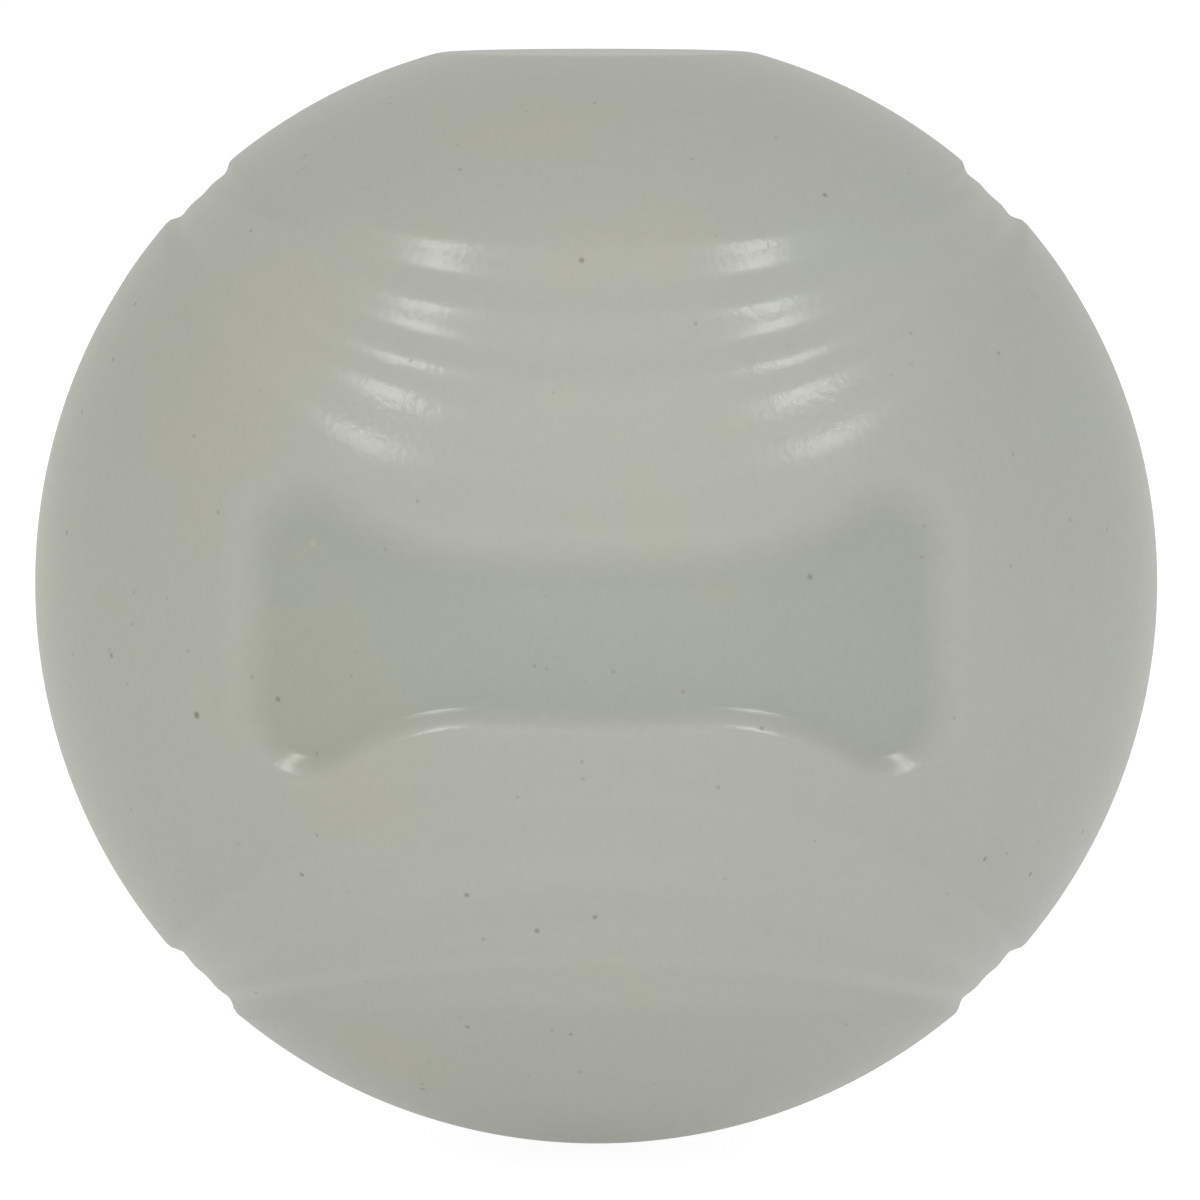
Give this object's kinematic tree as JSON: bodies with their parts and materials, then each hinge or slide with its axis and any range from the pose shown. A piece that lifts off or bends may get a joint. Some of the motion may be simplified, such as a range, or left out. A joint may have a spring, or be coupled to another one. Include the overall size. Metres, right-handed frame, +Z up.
{
  "type": "dog fetch ball",
  "caption": "Hollow bouncing rubber fetch ball for a dog, bonded from moulded half shells, with grooved bands that curve round shallow recessed panels, and a small flat on top.",
  "frame": {"origin": "centre of the ball", "axes": "+Z up through the middle of the top flat, -Y out through the middle of the front panel, +X to the right of someone who looks at the front panel; the bonded seam lies in the plane y = 0"},
  "size_m": [0.065, 0.0642, 0.0633],
  "materials": {
    "shell_rubber": "satin, pale grey-green",
    "bond_rubber": "matt, cured rubber cement"
  },
  "bodies": {
    "root": {"front_half_shell": "shell_rubber", "rear_half_shell": "shell_rubber", "seam_bond_ring": "bond_rubber"}
  },
  "joints": []
}
